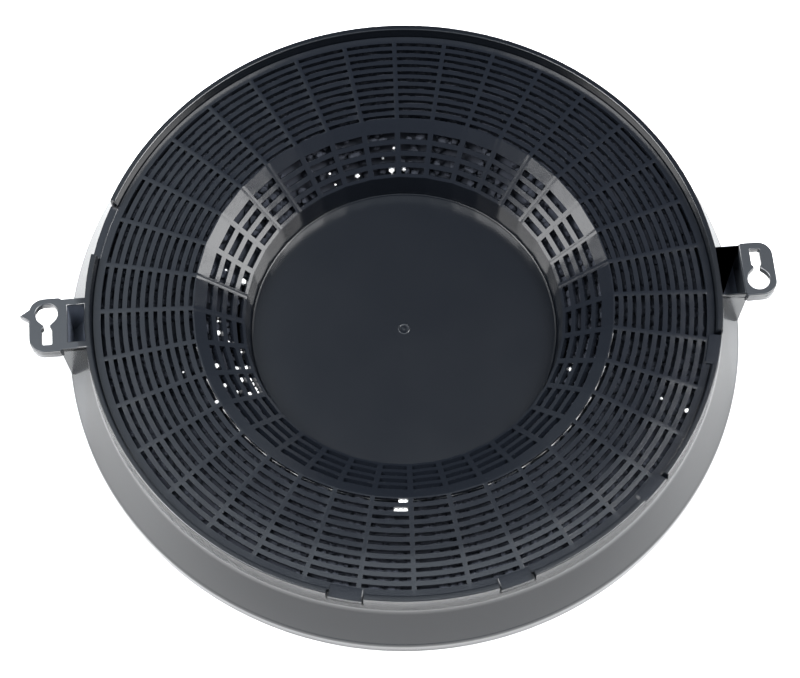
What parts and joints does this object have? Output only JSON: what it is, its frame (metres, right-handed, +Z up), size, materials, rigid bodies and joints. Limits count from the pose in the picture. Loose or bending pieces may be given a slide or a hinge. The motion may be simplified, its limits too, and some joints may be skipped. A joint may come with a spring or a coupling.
{
  "type": "cooker hood carbon filter",
  "caption": "Round carbon filter cartridge for a cooker hood: flared casing with two keyhole ears, slotted grille with a deep central well and a bed of carbon granules.",
  "frame": {"origin": "centre of the base's underside, on the axis of the round casing", "axes": "+Z up along the casing's axis, out of the grille side; X runs through the two keyhole ears, with the small pointer on the -X ear"},
  "size_m": [0.281, 0.254, 0.03],
  "materials": {
    "dark_plastic": "semi-gloss",
    "activated_carbon": "matt"
  },
  "bodies": {
    "root": {"filter_casing": "dark_plastic", "inlet_grille": "dark_plastic", "carbon_granules": "activated_carbon"}
  },
  "joints": []
}
